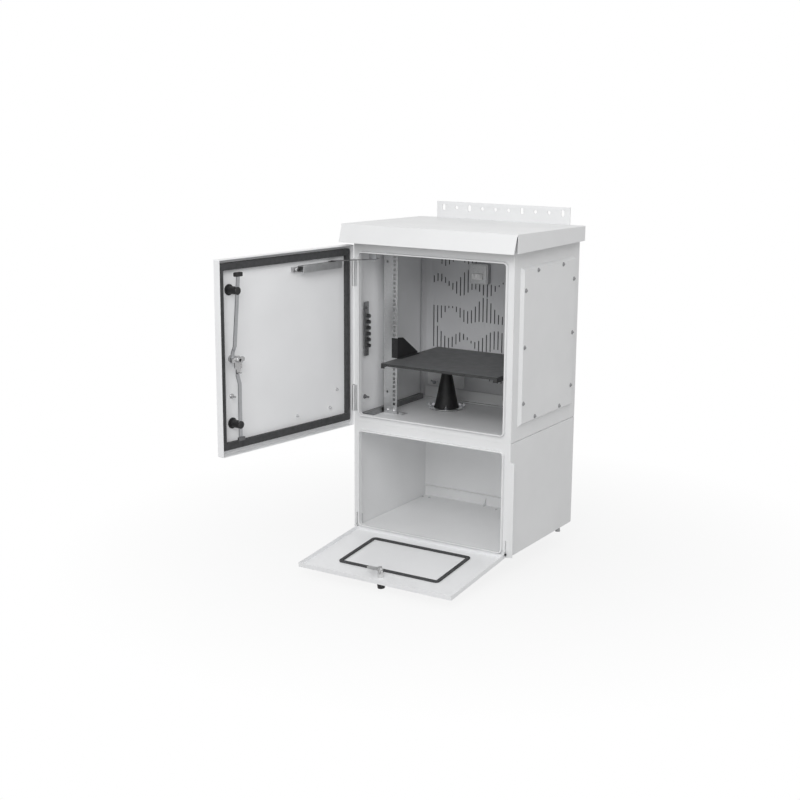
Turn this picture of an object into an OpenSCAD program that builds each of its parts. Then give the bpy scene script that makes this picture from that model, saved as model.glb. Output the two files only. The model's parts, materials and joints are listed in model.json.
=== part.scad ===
// Outdoor street cabinet for a pole or a wall: a 19 inch rack bay behind a side-hinged door,
// a lower bay behind a drop-down flap, a sloping rain roof and a hanging bracket behind it.
// Origin: centre of the underside. X runs to the right of the front, Y to the back, Z up.
// The cabinet is drawn with its door swung out and its flap down, which is joint value zero.

/* [Body] */
// Width of both housings
body_w = 592; // [520:1:700]
// Depth of both housings
body_d = 466; // [430:1:600]
// Height of the lower housing
lower_h = 375; // [365:1:480]
// Height of the upper housing
upper_h = 635; // [620:1:800]
// Sheet of the housings
wall = 2; // [1.5:0.1:3]
// Height of the shadow gap between the housings
seam_gap = 2; // [1:0.5:2.5]
// Depth of the shadow gap
seam_inset = 4; // [2:0.5:8]

/* [Openings] */
// Width of the front at each side of the openings
opening_side = 25; // [24:0.5:60]
// Height of the upper opening above the seam
upper_sill = 27; // [22:1:40]
// Height of the front above the upper opening
upper_head = 67; // [60:1:100]
// Height of the lower sill above the underside
lower_sill = 17; // [14:1:30]
// Height of the front above the lower opening
lower_head = 31; // [28:1:60]
// Corner radius of the openings
opening_r = 10; // [4:1:20]
// Width of the rain bead round each opening
bead_w = 5; // [3:0.5:8]
// How far the bead stands proud of the front
bead_proud = 11; // [6:0.5:12]
// How far the folded lip runs back from the front
lip_depth = 6; // [3:0.5:8]

/* [Roof] */
// Overhang of the roof at each side
roof_overhang = 26; // [15:1:40]
// How far the top of the roof reaches past the front
roof_front = 34; // [20:1:50]
// How much further the rain flashing runs out at its foot
flashing_run = 21; // [8:1:30]
// Height of the roof's front edge above the housing
roof_rise_front = 27; // [20:1:40]
// Height of the roof's back edge above the housing
roof_rise_back = 16; // [10:1:30]
// How far the roof's skirt hangs below the housing's top
roof_skirt = 32; // [20:1:45]
// Sheet of the roof
roof_t = 2; // [1.5:0.1:3]
// Radius of the roof's back corners
roof_corner_r = 22; // [6:1:25]

/* [Hanging bracket] */
// How far the bracket stops short of each side of the housing
bracket_side = 39; // [20:1:90]
// Sheet of the bracket
bracket_t = 3; // [2:0.5:5]
// How far the bracket rises above the roof's back edge
bracket_rise = 56; // [40:1:90]
// How far the bracket runs down the back
bracket_drop = 90; // [60:1:140]
// Distance of the end holes from the bracket's ends
bracket_end = 27.5; // [20:0.5:40]
// Number of holes
bracket_holes = 10; // [4:2:10]
// Distance of the holes from the top edge
bracket_edge = 20; // [15:1:30]
// Radius of the round holes and of the slots' ends
bracket_hole_r = 6; // [4:0.5:8]
// Length of the slots
bracket_slot = 22; // [14:1:26]

/* [Door] */
// Height of the housing above the door
door_head = 42.5; // [30:0.5:50]
// How far the door stops short of each side of the housing
door_side = 1; // [0.5:0.5:2]
// Depth of the door pan
door_t = 24.3; // [18:0.1:30]
// Sheet of the door
door_skin = 2; // [1.5:0.1:3]
// Gap between the closed door and the front
door_gap = 2; // [1:0.5:4]
// How far the door hangs below the seam
door_drop = 11.5; // [0:0.5:12]
// Angle at which the door stands open
door_open = 98.3; // [0:0.1:110]
// Distance of the hinge axis in front of the front
hinge_out = 4.6; // [3.5:0.1:8]
// Width of the door gasket along the top and the foot
gasket_w = 22; // [12:1:26]
// Width of the door gasket's upright strips
gasket_side_w = 15; // [13:0.5:20]
// Inset of the door gasket from the door's edge
gasket_inset = 9; // [8:0.5:12]
// Length of each hinge
hinge_l = 88; // [60:1:110]
// Length of the hinge's middle knuckle
knuckle_l = 38; // [20:1:44]
// Distance of the hinges' middles from the ends of the door
hinge_end = 92; // [70:1:150]

/* [Door lock] */
// Distance of the lock from the free edge of the door
lock_edge = 59; // [56:1:90]
// Radius of the lock body
lock_r = 11; // [8:0.5:14]
// Travel of the rods, which is also the radius of their pins on the cam
rod_travel = 20; // [14:1:24]
// Width of the rods
rod_w = 13; // [8:0.5:13]
// Thickness of the rods and the cam
rod_t = 3; // [2:0.5:4]
// Height of the rods' outer face above the outside of the door
rod_n = 41; // [40:0.5:44]
// Distance of the upper rod's end from the top of the door
rod_top_gap = 44; // [42:1:70]
// Distance of the lower rod's end from the foot of the door
rod_foot_gap = 48; // [46:1:70]
// Distance of the lower guide from the end of its rod
guide_end = 44; // [30:1:90]
// Radius of the rod guides
guide_r = 12; // [11:0.5:14]
// Length of the outer handle
handle_l = 115; // [80:1:150]

/* [Door stay] */
// Distance of the stay's pivot from the left end of the opening
stay_x = 44; // [30:1:60]
// Distance of the stay's pivot behind the front
stay_y = 16; // [10:1:30]
// Start of the stay channel on the door
channel_start = 58; // [40:1:80]
// Length of the stay channel
channel_l = 180; // [150:1:220]
// Height of the stay channel
channel_h = 22; // [14:1:26]
// Distance of the stay channel's top below the top of the opening
channel_down = 24; // [20:1:40]
// Place of the stay's slider on the door
slider_s = 92; // [88:1:110]

/* [Flap] */
// How far the flap laps over the opening at each side
flap_lap = 12.5; // [12:0.5:14]
// Height of the front above the closed flap
flap_head = 24; // [16:1:26]
// Depth of the flap pan
flap_t = 14.5; // [12:0.5:20]
// Sheet of the flap
flap_skin = 1.5; // [1:0.1:2.5]
// Angle at which the flap hangs below level
flap_droop = 5.9; // [0:0.1:10]
// Height of the flap's hinge above the underside
flap_hinge_z = 11; // [9:0.5:14]
// Distance of the flap's hinge in front of the front
flap_hinge_out = 4.3; // [3:0.1:8]
// Distance of the flap's lock from its free edge
flap_lock_edge = 48; // [40:1:60]
// Length of the flap's cam
flap_cam_l = 56; // [50:1:65]
// Distance of the loop seal from each end of the flap
loop_side = 95.5; // [60:0.5:180]
// Distance of the loop seal from the flap's hinge
loop_s = 42; // [30:1:60]
// Distance of the loop seal from the flap's free edge
loop_end = 83; // [76:1:160]

/* [Rack] */
// Distance between the rails' hole lines
rail_span = 465.1; // [465.1:0.1:465.2]
// Distance of the rails behind the front
rail_back = 148; // [100:1:200]
// Gap between the rails and the side walls
rail_gap = 20.45; // [18:0.05:40]
// Depth of the rails
rail_depth = 40; // [20:1:60]
// Least height of the bay above the rails
rack_head = 40; // [30:1:120]
// Height of the lowest rack unit above the bay's floor
rack_start = 28; // [18:1:40]

/* [Shelf] */
// Height of the shelf's top above the bay's floor
shelf_z = 195; // [160:1:400]
// Width of the shelf
shelf_w = 438; // [300:1:438]
// Distance of the shelf from the back of the housing
shelf_back = 50; // [48:1:150]
// How far the shelf reaches in front of the rails
shelf_front = 104; // [40:1:110]
// Sheet of the shelf
shelf_t = 2; // [1.5:0.1:3]
// Height of the shelf's side flange
shelf_flange = 17; // [10:1:30]
// Height of the gussets above the shelf
gusset_h = 72; // [40:1:90]
// Length of the gussets
gusset_l = 124; // [80:1:180]

/* [Cable cone] */
// Distance of the cone's middle from the left side
cone_side = 166; // [140:1:400]
// Distance of the cone's middle from the back
cone_back = 136; // [110:1:170]
// Radius of the cone's foot
cone_r = 43; // [30:1:45]
// Radius of the cone's mouth
cone_mouth_r = 16; // [10:1:25]
// Height of the cone
cone_h = 136; // [80:1:150]
// Radius of the clamp ring
ring_r = 64; // [60:1:70]

/* [Side cover] */
// Distance of the side cover from the front and the back
cover_side = 40.5; // [25:0.5:80]
// Height of the side cover above the seam
cover_foot = 48.5; // [30:0.5:90]
// Height of the housing above the side cover
cover_head = 81.5; // [60:0.5:120]
// How far the side cover stands out
cover_out = 10; // [6:0.5:16]
// Width of the side cover's bevel
cover_bevel = 9; // [4:0.5:14]

/* [Hidden] */
$fn = 48;

// Clearances
contact = 0.3;
running = 0.05;
eps = 1;

// Places in the body
front_y = -body_d / 2;
back_y = body_d / 2;
side_x = body_w / 2;
top_z = lower_h + upper_h;
bay_floor_z = lower_h + 3;
opening_w = body_w - 2 * opening_side;
upper_bottom = lower_h + upper_sill;
upper_top = top_z - upper_head;
lower_top = lower_h - lower_head;
bead_y = front_y - bead_proud;
roof_back_z = top_z + roof_rise_back;
roof_front_z = top_z + roof_rise_front;
bracket_w = body_w - 2 * bracket_side;
bracket_pitch = (bracket_w - 2 * bracket_end) / (bracket_holes - 1);
cover_w = body_d - 2 * cover_side;
cover_h = upper_h - cover_foot - cover_head;
cover_mid = cover_foot + cover_h / 2;

// Places in the door, measured with the door closed: s from the hinge edge, n in from the outside
door_w = body_w - 2 * door_side;
door_edge_x = -side_x + door_side;
door_out_y = front_y - door_gap - door_t;
door_z = lower_h - door_drop;
door_h = top_z - door_head - door_z;
door_mid = door_z + door_h / 2;
pivot = [-side_x, front_y - hinge_out];
hinge_reach = door_h / 2 - hinge_end;
lock_s = door_w - lock_edge;
lock_drop = 4;
lock_z = door_mid - lock_drop;
rod_reach = door_h / 2 + lock_drop - rod_top_gap;
rod_reach_down = door_h / 2 - lock_drop - rod_foot_gap;
guide_reach = rod_reach_down - guide_end;
guide_lift = 5;
gasket_n = bead_y - door_out_y - contact;
cam_n = front_y + lip_depth - door_out_y + 0.7;
rod_seat_n = cam_n - 0.5;

// Places in the flap, measured level: s from the hinge, n up from the rim of the pan
flap_w = opening_w + 2 * flap_lap;
flap_l = lower_h - flap_hinge_z - flap_head;
flap_lock_s = flap_l - flap_lock_edge;
loop_w = flap_w - 2 * loop_side;
loop_l = flap_l - loop_s - loop_end;
flap_pivot = [front_y - flap_hinge_out, flap_hinge_z];
ear_t = 3;
ear_r = flap_hinge_out - contact;
flap_pin_r = 2;
lug_x = flap_w / 2 + contact;
lug_t = 3;
lug_r = 8;
slit_w = lug_t + 2 * contact;
slit_z = [flap_hinge_z - lug_r, flap_hinge_z + 45];
flap_cam_n = lip_depth + flap_hinge_out + 0.7;

// Places in the rack bay
rail_y = front_y + rail_back;
rail_z = bay_floor_z + 1.5;
rail_x = rail_span / 2 - 12;
rail_w = side_x - wall - rail_gap - rail_x;
unit_h = 44.45;
hole_z = [6.35, 22.225, 38.1];
rack_units = floor((upper_h - rack_start - rack_head) / unit_h);
rail_top = bay_floor_z + rack_start + rack_units * unit_h;
panel_y = back_y - 8;
panel_flange = 38;
shelf_top = bay_floor_z + shelf_z;
shelf_d = back_y - shelf_back - rail_y + shelf_front;
cone_x = -side_x + cone_side;
cone_y = back_y - cone_back;

// General shapes

module rounded_plate(w, h, r) {
  square([w - 2 * r, h], center = true);
  square([w, h - 2 * r], center = true);
  for (i = [-1, 1], j = [-1, 1])
    translate([i * (w / 2 - r), j * (h / 2 - r)]) circle(r);
}

module bar_with_round_ends(l, w) {
  square([l - w, w], center = true);
  for (i = [-1, 1]) translate([i * (l - w) / 2, 0]) circle(w / 2);
}

// A closed strip with rounded corners, standing up along Z
module strip_loop(w, h, r, strip, t) {
  linear_extrude(t) difference() {
    rounded_plate(w, h, r);
    rounded_plate(w - 2 * strip, h - 2 * strip, max(r - strip, 1));
  }
}

// Turns a shape drawn in X and Y, standing up along Z, to stand along Y on the front
module on_front(y) {
  translate([0, y, 0]) rotate([90, 0, 0]) children();
}

// A button-head screw with its axis along Z and its seat at zero
module button_screw(r, h) {
  cylinder(r = r, h = h * 0.55);
  translate([0, 0, h * 0.55]) cylinder(r1 = r, r2 = r * 0.6, h = h * 0.45);
}

module hex_head(across, h) {
  cylinder(r = across / 2 / cos(30), h = h, $fn = 6);
}

// Carries a shape drawn with the door closed to where the door stands
module on_door() {
  translate([pivot[0], pivot[1], 0]) rotate(-door_open)
    translate([-pivot[0], -pivot[1], 0]) children();
}

// The door's own axes: s along X, height along Y, n along Z
module door_face(n = 0) {
  on_door() translate([door_edge_x, door_out_y + n, 0])
    mirror([0, 1, 0]) rotate([90, 0, 0]) children();
}

// The flap's own axes: across along X, s along Y, n along Z
module flap_face(n = 0) {
  translate([0, flap_pivot[0], flap_pivot[1]]) rotate([flap_droop, 0, 0])
    translate([0, 0, n]) mirror([0, 1, 0]) children();
}

// Housings and roof

// The bead and the folded lip round an opening that runs from z0 to z1
module opening_rim(z0, z1) {
  on_front(front_y + lip_depth) translate([0, (z0 + z1) / 2, 0]) {
    strip_loop(opening_w + 2 * wall, z1 - z0 + 2 * wall, opening_r + wall, wall, lip_depth + bead_proud);
    translate([0, 0, lip_depth])
      strip_loop(opening_w + 2 * bead_w, z1 - z0 + 2 * bead_w, opening_r + bead_w, bead_w, bead_proud - 2);
    translate([0, 0, lip_depth + bead_proud - 2]) {
      crest_w = bead_w - 1;
      strip_loop(opening_w + 2 * crest_w, z1 - z0 + 2 * crest_w, opening_r + crest_w, crest_w, 2);
    }
  }
}

module opening_cut(z0, z1) {
  on_front(front_y + wall + eps) translate([0, (z0 + z1) / 2, 0]) linear_extrude(wall + 2 * eps)
    rounded_plate(opening_w, z1 - z0, opening_r);
}

module shell(z0, z1, floor_t, roof_sheet) {
  difference() {
    translate([-side_x, front_y, z0]) cube([body_w, body_d, z1 - z0]);
    translate([-side_x + wall, front_y + wall, z0 + floor_t])
      cube([body_w - 2 * wall, body_d - 2 * wall, z1 - z0 - floor_t - roof_sheet]);
  }
}

module upper_housing() {
  color("whitesmoke") {
    difference() {
      shell(lower_h, top_z, bay_floor_z - lower_h, wall);
      opening_cut(upper_bottom, upper_top);
      for (i = [-1, 1])
        translate([i * side_x - seam_inset, front_y + wall, lower_h - eps])
          cube([2 * seam_inset, body_d, seam_gap + eps]);
      cable_hole();
      translate([side_x - wall - eps, 0, lower_h + cover_mid]) rotate([90, 0, 90])
        linear_extrude(wall + 2 * eps)
          square([cover_w - 2 * cover_land, cover_h - 2 * cover_land], center = true);
    }
    opening_rim(upper_bottom, upper_top);
  }
}

// The hole under the cable cone, through both housings
module cable_hole() {
  translate([cone_x, cone_y, lower_h - wall - eps])
    cylinder(r = cone_r - 4, h = wall + bay_floor_z - lower_h + 2 * eps);
}

module flange_strip() {
  strip_w = 14;
  strip_top = lower_h - 60;
  translate([side_x - wall, front_y, 2]) cube([strip_w + wall, wall, strip_top - 2]);
}

module lower_housing() {
  color("whitesmoke") {
    difference() {
      shell(0, lower_h, wall, wall);
      opening_cut(lower_sill, lower_top);
      cable_hole();
      for (i = [-1, 1])
        translate([i * (lug_x + lug_t / 2) - slit_w / 2, front_y - eps, slit_z[0]])
          cube([slit_w, wall + 2 * eps, slit_z[1] - slit_z[0]]);
    }
    opening_rim(lower_sill, lower_top);
    flange_strip();
  }
}

// Side view of the roof, with its sheet drawn in by t
function roof_side(t) = let(skirt_z = top_z - roof_skirt) [
  [front_y - roof_front - flashing_run + t, skirt_z - t * eps],
  [front_y - roof_front + t, roof_front_z - t],
  [back_y - t, roof_back_z - t],
  [back_y - t, skirt_z - t * eps]
];

module roof_block(t) {
  hw = side_x + roof_overhang - t;
  r = roof_corner_r - t;
  intersection() {
    translate([-hw, 0, 0]) rotate([90, 0, 90]) linear_extrude(2 * hw) polygon(roof_side(t));
    translate([0, 0, top_z - 2 * roof_skirt]) linear_extrude(3 * roof_skirt) union() {
      translate([-hw, -body_d]) square([2 * hw, body_d + back_y - t - r]);
      translate([-hw + r, 0]) square([2 * (hw - r), back_y - t]);
      for (i = [-1, 1]) translate([i * (hw - r), back_y - t - r]) circle(r);
    }
  }
}

module roof() {
  rib_w = 30;
  color("white") intersection() {
    roof_block(roof_t / 2);
    for (i = [-1, 1]) translate([i * side_x * 0.7 - rib_w / 2, front_y + 20, top_z])
      cube([rib_w, body_d - 40, roof_rise_front + eps]);
  }
  color("white") difference() {
    roof_block(0);
    roof_block(roof_t);
    // the back skirt stops on top of the housing
    translate([-side_x - contact, 0, top_z - 2 * roof_skirt])
      cube([body_w + 2 * contact, body_d, 2 * roof_skirt]);
    // the flashing stands free of the side skirts
    for (i = [-1, 1])
      translate([i * (side_x + roof_overhang) - roof_t, front_y - roof_front - flashing_run - eps,
                 top_z - 2 * roof_skirt])
        cube([2 * roof_t, flashing_run + 4, 2 * roof_skirt + roof_rise_front - 3 * roof_t]);
  }
}

module bracket_outline() {
  h = bracket_drop + roof_rise_back + bracket_rise;
  difference() {
    translate([-bracket_w / 2, -bracket_drop]) square([bracket_w, h]);
    for (k = [0 : bracket_holes - 1])
      translate([(k - (bracket_holes - 1) / 2) * bracket_pitch, h - bracket_drop - bracket_edge])
        if (k == 0 || k == 2 || k == 6 || k == bracket_holes - 1)
          rotate(90) bar_with_round_ends(bracket_slot, 2 * bracket_hole_r);
        else
          circle(bracket_hole_r);
  }
}

module rear_bracket() {
  color("whitesmoke") {
    on_front(back_y + bracket_t) translate([0, top_z, 0]) linear_extrude(bracket_t) bracket_outline();
    for (i = [-1, 0, 1], j = [-70, -30])
      translate([i * bracket_w * 0.42, back_y + bracket_t, top_z + j])
        rotate([-90, 0, 0]) hex_head(13, 5);
  }
}

// Side cover

// How far the cover laps over the wall round its opening
cover_land = 30;

// A pan with bevelled sides, open towards the wall, grown inwards by t
module cover_block(t) {
  intersection() {
    translate([side_x, 0, lower_h + cover_mid - cover_h / 2]) linear_extrude(cover_h) polygon([
      [-t, -cover_w / 2 + t], [cover_out - t, -cover_w / 2 + cover_bevel + t],
      [cover_out - t, cover_w / 2 - cover_bevel - t], [-t, cover_w / 2 - t]
    ]);
    translate([side_x, cover_w / 2, lower_h + cover_mid]) rotate([90, 0, 0])
      linear_extrude(cover_w) polygon([
      [-t, -cover_h / 2 + t], [cover_out - t, -cover_h / 2 + cover_bevel + t],
      [cover_out - t, cover_h / 2 - cover_bevel - t], [-t, cover_h / 2 - t]
    ]);
  }
}

// Places of the cover's screws from its middle, as depth and height
cover_screws = concat(
  [for (i = [-1, 1], j = [-1, 1]) [i * cover_w * 0.234, j * (cover_h / 2 - 17)]],
  [for (i = [-1, 1], j = [-1, 0, 1]) [i * (cover_w / 2 - 19), j * (cover_h / 2 - 73)]]
);

module side_cover() {
  color("gainsboro") difference() {
    union() {
      difference() {
        cover_block(0);
        cover_block(wall);
      }
      for (p = cover_screws)
        translate([side_x, p[0], lower_h + cover_mid + p[1]]) rotate([0, 90, 0])
          cylinder(r = 6, h = cover_out - wall / 2);
    }
    for (p = cover_screws)
      translate([side_x - eps, p[0], lower_h + cover_mid + p[1]]) rotate([0, 90, 0])
        cylinder(r = 3, h = cover_out + 2 * eps);
  }
}

module side_cover_seal() {
  inset = 6;
  strip = 4.6;
  color("dimgray") translate([side_x, 0, lower_h + cover_mid]) rotate([90, 0, 90])
    strip_loop(cover_w - 2 * inset, cover_h - 2 * inset, 6, strip, 1.8);
}

module side_cover_screws() {
  color("silver") for (p = cover_screws)
    translate([side_x + cover_out, p[0], lower_h + cover_mid + p[1]]) rotate([0, 90, 0]) {
      button_screw(5, 4.5);
      translate([0, 0, -cover_out]) cylinder(r = 2.9, h = cover_out + 1);
    }
}

// Back of the rack bay

slot_w = 4;
slot_columns = 34;
slot_pitch = (body_w - 70) / slot_columns;
slot_top = upper_h - 60;
slot_foot = 62;
// Slots follow two slow waves across the panel, so that the cuts thin out towards the middle
function slot_length(k, j) = 46 + 30 * sin(k * 23 + j * 75) + 12 * cos(k * 57 - j * 31);
function slot_shift(k, j) = 16 * sin(k * 41 + j * 130);
slot_rows = 5;

module slot_field() {
  row_h = (slot_top - slot_foot) / slot_rows;
  for (k = [0 : slot_columns], j = [0 : slot_rows - 1])
    translate([(k - slot_columns / 2) * slot_pitch, slot_foot + (j + 0.5) * row_h + slot_shift(k, j)])
      square([slot_w, slot_length(k, j)], center = true);
}

module back_panel() {
  panel_w = body_w - 2 * wall - 1;
  color("lightgray") {
    on_front(panel_y + 1.5) translate([0, bay_floor_z, 0]) linear_extrude(1.5) difference() {
      translate([-panel_w / 2, 4]) square([panel_w, upper_h - 20]);
      slot_field();
    }
    for (i = [-1, 1])
      translate([i * (panel_w / 2 - 0.75) - 0.75, panel_y - panel_flange, bay_floor_z + 4])
        cube([1.5, panel_flange + 1, upper_h - 20]);
  }
}

module rear_ledge() {
  ledge_h = 40;
  ledge_w = body_w - 2 * wall - 6;
  color("whitesmoke") rotate([90, 0, 90]) translate([0, 0, -ledge_w / 2]) linear_extrude(ledge_w) polygon([
    [panel_y - 3, bay_floor_z], [panel_y - 20, bay_floor_z],
    [panel_y - 20, bay_floor_z + 2], [panel_y - 5, bay_floor_z + 2],
    [panel_y - 5, bay_floor_z + ledge_h], [panel_y - 3, bay_floor_z + ledge_h]
  ]);
}

plate_t = 3;
plate_size = [152, 76];
plate_place = [-side_x + 90, bay_floor_z + 82];
wing_place = plate_place - [46, 27];

module blank_plate() {
  color("lightgray") difference() {
    on_front(panel_y) translate(plate_place)
      linear_extrude(plate_t) rounded_plate(plate_size[0], plate_size[1], 10);
    on_front(panel_y + eps) translate(wing_place) cylinder(r = 3, h = plate_t + 2 * eps);
  }
}

module wing_screw() {
  color("dimgray") on_front(panel_y - plate_t) translate(wing_place) {
    cylinder(r = 6, h = 7);
    for (i = [-1, 1]) translate([i * 8, 4, 4.5]) rotate([90, 0, i * 25])
      linear_extrude(2.5, center = true) bar_with_round_ends(14, 8);
  }
}

box_x = -69;
box_z = top_z - 170;
box_size = [70, 26, 70];

module junction_box() {
  color("silver") on_front(panel_y) translate([box_x, box_z, 0]) {
    linear_extrude(box_size[1] - 4) rounded_plate(box_size[0], box_size[2], 5);
    linear_extrude(box_size[1]) rounded_plate(box_size[0] - 8, box_size[2] - 8, 4);
  }
}

module junction_box_socket() {
  color("white") on_front(panel_y - box_size[1]) translate([box_x - 2, box_z - 8, 0]) {
    linear_extrude(5) rounded_plate(40, 20, 3);
    for (i = [-1 : 1]) translate([i * 12, 0, 5]) linear_extrude(2) rounded_plate(7, 12, 1.5);
  }
}

// Rack

module rail_holes() {
  for (u = [0 : rack_units - 1], z = hole_z)
    translate([0, rack_start + u * unit_h + z]) square(9.5, center = true);
}

// One rail, drawn for the right-hand side
module rail() {
  x0 = rail_x;
  h = rail_top - rail_z;
  difference() {
    translate([x0, rail_y, rail_z]) cube([rail_w, rail_depth, h]);
    translate([x0 - eps, rail_y + wall, rail_z - eps]) cube([rail_w - wall + eps, rail_depth, h + 2 * eps]);
    on_front(rail_y + wall + eps) translate([rail_span / 2, bay_floor_z, 0]) linear_extrude(wall + 2 * eps)
      rail_holes();
    for (z = [75, rail_top - bay_floor_z - 40])
      on_front(rail_y + wall + eps) translate([x0 + rail_w - 14, bay_floor_z + z, 0])
        cylinder(r = 4, h = wall + 2 * eps);
  }
}

module right_rail() {
  color("silver") rail();
}

module left_rail() {
  color("silver") mirror([1, 0, 0]) rail();
}

rail_foot_t = 1.5;
rail_foot_toe = 24;
rail_foot_d = rail_depth - 6;

module rail_feet() {
  color("silver") for (i = [0, 1]) mirror([i, 0, 0]) {
    translate([rail_x - rail_foot_toe, rail_y - 2, bay_floor_z])
      cube([rail_w + rail_foot_toe - 2, rail_foot_d, rail_foot_t]);
    translate([rail_x, rail_y - 2, bay_floor_z]) cube([rail_w - 4, 2, 20]);
  }
}

module rail_bolts() {
  color("silver") for (i = [0, 1]) mirror([i, 0, 0]) {
    for (x = [-17, -6]) translate([rail_x + x, rail_y + 10, bay_floor_z + rail_foot_t]) hex_head(8, 5);
    for (x = [12, rail_w - 17])
      translate([rail_x + x, rail_y - 2, bay_floor_z + 12]) rotate([90, 0, 0]) button_screw(4, 3);
  }
}

// A channel on the bay's floor along a wall, open towards it, from the front to the panel's flange
module depth_rail() {
  x1 = side_x - wall;
  y0 = front_y + wall + 30;
  l = panel_y - panel_flange - 3 - y0;
  difference() {
    translate([x1 - 16, y0, bay_floor_z]) cube([16, l, 18]);
    translate([x1 - 14, y0 - eps, bay_floor_z + 2]) cube([14 + eps, l + 2 * eps, 12]);
  }
}

module right_depth_rail() {
  color("gray") depth_rail();
}

module left_depth_rail() {
  color("gray") mirror([1, 0, 0]) depth_rail();
}

// Shelf

module shelf_tray() {
  y0 = rail_y - shelf_front;
  color("dimgray") difference() {
    translate([-shelf_w / 2, y0, shelf_top - shelf_flange]) cube([shelf_w, shelf_d, shelf_flange]);
    translate([-shelf_w / 2 + shelf_t, y0 + shelf_t, shelf_top - shelf_flange - eps])
      cube([shelf_w - 2 * shelf_t, shelf_d - 2 * shelf_t, shelf_flange + eps - shelf_t]);
    translate([-shelf_w / 2 + 14, y0 - eps, shelf_top - shelf_flange - eps])
      cube([shelf_w - 28, shelf_t + 2 * eps, shelf_flange + eps - 9]);
  }
}

// How far the ears lap over the rails, and the place of their screws
ear_lap = 20.45;
ear_screw = 10.45;

// Drawn for the right-hand side: an ear on the rail's front and a gusset on the shelf
module shelf_bracket() {
  ear_h = gusset_h - 4;
  x0 = shelf_w / 2 - shelf_t;
  translate([x0 - 2, rail_y - 2, shelf_top]) cube([rail_x + ear_lap - x0 + 2, 2, ear_h]);
  translate([x0, 0, 0]) rotate([90, 0, 90]) translate([0, 0, -2]) linear_extrude(2) polygon([
    [rail_y - 6, shelf_top], [rail_y - 6, shelf_top + gusset_h - 6],
    [rail_y, shelf_top + gusset_h], [rail_y + 30, shelf_top + gusset_h - 4],
    [rail_y + gusset_l, shelf_top + 6], [rail_y + gusset_l, shelf_top]
  ]);
  translate([x0 - 14, rail_y - 6, shelf_top]) cube([14, gusset_l, 2]);
}

module right_shelf_bracket() {
  color("dimgray") shelf_bracket();
}

module left_shelf_bracket() {
  color("dimgray") mirror([1, 0, 0]) shelf_bracket();
}

module shelf_screws() {
  color("dimgray") for (i = [-1, 1]) {
    for (z = [16, 52])
      translate([i * (rail_x + ear_screw), rail_y - 2, shelf_top + z]) rotate([90, 0, 0])
        button_screw(5, 3.5);
    for (y = [20, 90])
      translate([i * (shelf_w / 2 - shelf_t - 7), rail_y + y, shelf_top + 2]) button_screw(4, 2.5);
  }
}

// Cable cone

module cable_cone() {
  skin = 3;
  color("black") translate([cone_x, cone_y, bay_floor_z]) rotate_extrude() polygon([
    [cone_r - 4, 0], [ring_r - 3, 0], [ring_r - 3, 2], [cone_r, 2], [cone_r - 2, 8],
    [cone_mouth_r + 1, cone_h - 8], [cone_mouth_r + 2, cone_h], [cone_mouth_r - 1, cone_h],
    [cone_mouth_r - skin + 1, cone_h - 8], [cone_r - 2 - skin, 8]
  ]);
}

cone_stud_r = (cone_r + ring_r) / 2;
cone_stud_angles = [for (k = [0 : 3]) 28 + k * 90];

module cone_ring() {
  color("silver") difference() {
    translate([cone_x, cone_y, bay_floor_z + 2]) cylinder(r = ring_r, h = 2);
    translate([cone_x, cone_y, bay_floor_z]) cylinder(r = cone_r + 1, h = 10);
    for (a = cone_stud_angles)
      translate([cone_x + cone_stud_r * cos(a), cone_y + cone_stud_r * sin(a), bay_floor_z])
        cylinder(r = 3, h = 10);
  }
}

// Wing nuts on their studs
module cone_nuts() {
  wing_l = 14;
  color("silver") for (a = cone_stud_angles)
    translate([cone_x + cone_stud_r * cos(a), cone_y + cone_stud_r * sin(a), bay_floor_z + 4]) rotate(a) {
      cylinder(r = 5, h = 6);
      cylinder(r = 2.5, h = 9);
      for (i = [-1, 1]) translate([i * 6, 0, 7]) rotate([90, 0, 0])
        linear_extrude(2, center = true) rotate(i * 55) bar_with_round_ends(wing_l, 7);
    }
}

// Earthing parts

earth_y = front_y + 57;
earth_bar_l = 182;
earth_mid = lower_h + 0.482 * upper_h;
earth_z = [earth_mid - earth_bar_l / 2, earth_mid + earth_bar_l / 2];
earth_x = -side_x + wall + 6;

module earth_bar() {
  color("gray") difference() {
    translate([earth_x, earth_y - 12, earth_z[0]]) cube([5, 24, earth_z[1] - earth_z[0]]);
    for (z = [earth_z[0] + 19, earth_z[1] - 19])
      translate([earth_x - eps, earth_y - 4, z]) rotate([0, 90, 0]) cylinder(r = 3.2, h = 7);
  }
}

module earth_bar_screws() {
  mid = (earth_z[0] + earth_z[1]) / 2 - 6;
  color("silver") {
    for (k = [-2.5 : 2.5]) translate([earth_x + 5, earth_y + 3, mid + k * 20]) rotate([0, 90, 0]) {
      cylinder(r = 7, h = 2);
      translate([0, 0, 2]) hex_head(11, 9);
    }
    for (z = [earth_z[0] + 19, earth_z[1] - 19])
      translate([earth_x + 5, earth_y - 4, z]) rotate([0, 90, 0]) button_screw(5, 4);
  }
}

module earth_bar_spacers() {
  color("silver") for (z = [earth_z[0] + 19, earth_z[1] - 19])
    translate([-side_x + wall, earth_y - 4, z]) rotate([0, 90, 0]) cylinder(r = 6, h = 6);
}

module earth_stud(l) {
  cylinder(r = 3, h = l);
  cylinder(r = 8, h = 1.5);
  translate([0, 0, 1.5]) hex_head(10, 5);
}

module wall_earth_stud() {
  color("silver") translate([-side_x + wall, earth_y + 2, bay_floor_z + 70]) rotate([0, 90, 0])
    earth_stud(18);
}

foot_h = 30;
// Places of the feet across and from the back, the front pair set in behind the flap
foot_places = [
  for (i = [-1, 1]) each [[i * (side_x - 30), back_y - 40], [i * (side_x - 56), front_y + 48]]
];

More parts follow.
